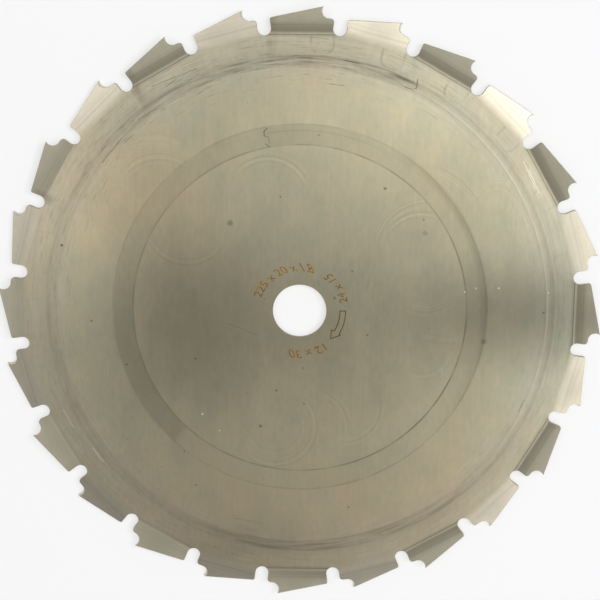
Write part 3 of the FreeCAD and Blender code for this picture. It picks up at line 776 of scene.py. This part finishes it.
edgeLooks = {  # the clean colour, the dirty one and the roughness
    "punchedSteelEdge": ("b9b19b", "7d7765", 0.42),
    "filedSteelFront": ("dcd6c4", "a9a28e", 0.3),
}
edgeCloud = {"perMillimetre": 2.2, "detail": 3.0, "span": (0.35, 0.7)}


def edgeSteel(name, clean, darkened, roughness):
    # A cut or filed edge: bright clean metal, cloudier where dirt has stayed on it
    made, tree = newMaterial(name)
    add = partial(addNode, tree)
    place = add("TexCoord").outputs["Object"]
    cloud = add("TexNoise", place, edgeCloud["perMillimetre"] / mm, edgeCloud["detail"])
    share = add("MapRange", cloud, *edgeCloud["span"], 0.0, 1.0, **soft)
    colour = add("Mix", share, linear(clean), linear(darkened), data_type="RGBA")
    add("OutputMaterial", add("BsdfPrincipled", colour, 1.0, roughness))
    return made


blade = makeBlade([groundSteel()] + [edgeSteel(name, *look) for name, look in edgeLooks.items()])
print("blade:", len(blade.data.polygons), "faces")
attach(blade, "root")
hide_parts("saw_blade")

laserMarks = {
    # Shaft between two radii from and to an angle, then a head out to a point; the blade turns this way round
    "arrow": {
        "inner": 15.1, "outer": 17.2, "tail": 0.6, "neck": -29.5, "barbs": (14.0, 17.75), "barbTurn": -31.2,
        "point": -42.0, "pointRadius": 15.75, "stroke": 0.36, "shaftSteps": 12, "mitreLimit": 0.4,
    },
    # Plain sizes: the text, how it runs, the angle where it starts, its baseline and its width
    "numbers": [
        (f"{bladeSizes['outsideDiameter']} x {bladeSizes['boreDiameter']} x {bladeSizes['thickness']}",
         -1, 162, 15.2, 0.97),
        (f"{2 * bladeSizes['toothPairs']} x {pitch:g}", 1, 11, 18.3, 1.0),
        (f"{bladeSizes['toothPairs']} x {2 * pitch:g}", -1, -51, 15.2, 1.1),
    ],
    "letterSize": 4.4, "raised": 0.012,
    "arrowBrown": ("5e4518", "745a24"), "numberBrown": ("7d5a1e", "a37c34"), "roughness": 0.45,
    "cloudPerMillimetre": 0.25, "cloudDetail": 2.0, "cloudSpan": (0.35, 0.65),
}


def laserBrown(name, dark, pale):
    # Steel that a laser has heated until it is brown: a thin oxide on metal, lighter where the beam ran fast
    made, tree = newMaterial(name)
    add = partial(addNode, tree)
    place = add("TexCoord").outputs["Object"]
    patches = add("TexNoise", place, laserMarks["cloudPerMillimetre"] / mm, laserMarks["cloudDetail"])
    share = add("MapRange", patches, *laserMarks["cloudSpan"], 0.0, 1.0, **soft)
    colour = add("Mix", share, linear(dark), linear(pale), data_type="RGBA")
    add("OutputMaterial", add("BsdfPrincipled", colour, 1.0, laserMarks["roughness"]))
    return made


def atRadius(radius, degrees):
    return turned(Vector((0, radius)), degrees)


def closed(mesh):
    # Welds what only touches and turns every face outwards
    shell = bmesh.new()
    shell.from_mesh(mesh)
    bmesh.ops.remove_doubles(shell, verts=shell.verts, dist=0.001 * mm)
    bmesh.ops.recalc_face_normals(shell, faces=shell.faces)
    shell.to_mesh(mesh)
    shell.free()


def arrowPiece(material):
    # The outline of an arrow as one closed band, a little proud of the plate
    size = laserMarks["arrow"]
    steps = size["shaftSteps"]
    shaft = [size["tail"] + (size["neck"] - size["tail"]) * i / steps for i in range(steps + 1)]
    line = [atRadius(size["outer"], t) for t in shaft]
    line += [atRadius(size["barbs"][1], size["barbTurn"]), atRadius(size["pointRadius"], size["point"])]
    line += [atRadius(size["barbs"][0], size["barbTurn"])]
    line += [atRadius(size["inner"], t) for t in reversed(shaft)]
    vertices, faces = [], []
    for i, point in enumerate(line):
        before, after = (point - line[i - 1]).normalized(), (line[(i + 1) % len(line)] - point).normalized()
        sideways = (Vector((-before.y, before.x)) + Vector((-after.y, after.x))).normalized()
        reach = size["stroke"] / 2 / max(size["mitreLimit"], sideways.dot(Vector((-before.y, before.x))))
        for side, height in ((1, -1), (1, 1), (-1, 1), (-1, -1)):
            spot = point + sideways * reach * side
            vertices.append((spot.x * mm, spot.y * mm, (halfThick + height * laserMarks["raised"]) * mm))
    for i in range(len(line)):
        here, there = 4 * i, 4 * ((i + 1) % len(line))
        faces += [(here + k, there + k, there + (k + 1) % 4, here + (k + 1) % 4) for k in range(4)]
    mesh = bpy.data.meshes.new("turningArrow")
    mesh.from_pydata(vertices, [], faces)
    mesh.materials.append(material)
    closed(mesh)
    made = bpy.data.objects.new("turningArrow", mesh)
    scene.collection.objects.link(made)
    return made


def numberPiece(name, text, way, start, baseline, spread, material):
    # Plain numbers bent round the bore: clockwise with tops outwards, or the other way with tops inwards
    letters = bpy.data.curves.new(name, "FONT")
    letters.body = text
    letters.size = laserMarks["letterSize"]
    letters.extrude = laserMarks["raised"]
    letters.resolution_u = 3
    flat = bpy.data.objects.new(name + "Draft", letters)
    scene.collection.objects.link(flat)
    made = plainMesh(flat, name)
    for vertex in made.data.vertices:
        x, y, z = vertex.co
        angle = start + way * math.degrees(x * spread / (baseline - way * y / 2))
        place = atRadius(baseline - way * y, angle)
        vertex.co = (place.x * mm, place.y * mm, (halfThick + z) * mm)
    closed(made.data)
    made.data.materials.clear()
    made.data.materials.append(material)
    return made


marks = [arrowPiece(laserBrown("laserBrownArrow", *laserMarks["arrowBrown"]))]
numberBrown = laserBrown("laserBrownNumbers", *laserMarks["numberBrown"])
for i, number in enumerate(laserMarks["numbers"]):
    marks.append(numberPiece(f"plainNumbers{i + 1}", *number, numberBrown))
for mark in marks:
    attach(mark, "root")
print("laser marks:", len(marks))

studio = {
    "tipClearance": 0.043,  # the lowest corners of the teeth end this little above the full set
    "floorSize": 4000, "floor": "f4f4f4",
    "shadowShare": 0.4,  # how much of the floor's own shading is seen beside plain white
    "panelSize": 0.5, "panelDistance": 1.6,
    "horizon": 0.6, "overhead": 0.16,  # the studio is pale low down and dim overhead
    "paleBelow": 0.15, "dimAbove": 0.6,  # as the height of a direction, from 0 level to 1 straight up
}


def makeFloor():
    # Matt white board, seen nearly as pure white, with a soft shadow under the blade
    made, tree = newMaterial("matWhiteFloor")
    add = partial(addNode, tree)
    path = add("LightPath").outputs
    seen = add("Math", path["Is Camera Ray"], path["Is Glossy Ray"], operation="MAXIMUM")
    seen = add("Math", seen, path["Is Transmission Ray"], operation="MAXIMUM")
    share = add("Math", seen, 1 - studio["shadowShare"], operation="MULTIPLY")
    matt = add("BsdfDiffuse", linear(studio["floor"]))
    white = add("Emission", (1, 1, 1, 1), 1.0)
    add("OutputMaterial", add("MixShader", share, matt, white))
    half = studio["floorSize"] / 2 * mm
    height = (studio["tipClearance"] - halfThick - bladeSizes["toothSet"]) * mm
    corners = [(x * half, y * half, height) for x, y in ((-1, -1), (1, -1), (1, 1), (-1, 1))]
    mesh = bpy.data.meshes.new("studioFloor")
    mesh.from_pydata(corners, [], [(0, 1, 2, 3)])
    mesh.materials.append(made)
    floor = bpy.data.objects.new("studioFloor", mesh)
    scene.collection.objects.link(floor)


def makeWorld():
    world = bpy.data.worlds.new("studioWorld")
    world.use_nodes = True
    world.node_tree.nodes.clear()
    add = partial(addNode, world.node_tree)
    height = add("SeparateXYZ", add("TexCoord").outputs["Generated"]).outputs["Z"]
    heights, levels = (studio["paleBelow"], studio["dimAbove"]), (studio["horizon"], studio["overhead"])
    level = add("MapRange", height, *heights, *levels, **soft)
    add("OutputWorld", add("Background", (1, 1, 1, 1), level))
    scene.world = world


softboxes = [  # each panel's lean from straight above, its side as an angle from +X, and its power in watts
    ("rightPanel", 42, 20, 6.5), ("leftPanel", 42, 160, 2), ("highRightPanel", 22, 45, 5),
    ("highLeftPanel", 22, 135, 2), ("highFarLeftPanel", 22, 180, 1.5), ("highFarRightPanel", 22, 0, 1.5),
    ("frontRightPanel", 35, 315, 3.5), ("frontLeftPanel", 35, 225, 0.5), ("frontPanel", 38, 270, 0.5),
]


def makeSoftboxes():
    for name, lean, side, power in softboxes:
        lamp = bpy.data.lights.new(name, "AREA")
        lamp.shape = "SQUARE"
        lamp.size = studio["panelSize"]
        lamp.energy = power
        holder = bpy.data.objects.new(name, lamp)
        scene.collection.objects.link(holder)
        lean, side = math.radians(lean), math.radians(side)
        direction = Vector((math.sin(lean) * math.cos(side), math.sin(lean) * math.sin(side), math.cos(lean)))
        holder.location = direction * studio["panelDistance"]
        holder.rotation_euler = direction.to_track_quat("Z", "Y").to_euler()


viewpoint = {  # millimetres and degrees, found from the round rims and the ring of tooth tips
    "place": (7.7, 135, 594.2), "target": (0.1, 4, 0), "roll": 0.5,
    "lens": 97.7, "sensor": 36, "clip": (10, 50000),
}


def makeCamera():
    lens = bpy.data.cameras.new("camera")
    lens.lens, lens.sensor_width = viewpoint["lens"], viewpoint["sensor"]
    lens.clip_start, lens.clip_end = [distance * mm for distance in viewpoint["clip"]]
    place, target = Vector(viewpoint["place"]) * mm, Vector(viewpoint["target"]) * mm
    roll = math.radians(viewpoint["roll"])
    ahead = (target - place).normalized()
    right = ahead.cross(Vector((-math.sin(roll), math.cos(roll), 0))).normalized()
    above = right.cross(ahead)
    camera = bpy.data.objects.new("camera", lens)
    scene.collection.objects.link(camera)
    camera.matrix_world = Matrix.Translation(place) @ Matrix((right, above, -ahead)).transposed().to_4x4()
    scene.camera = camera


makeFloor()
makeWorld()
makeSoftboxes()
makeCamera()
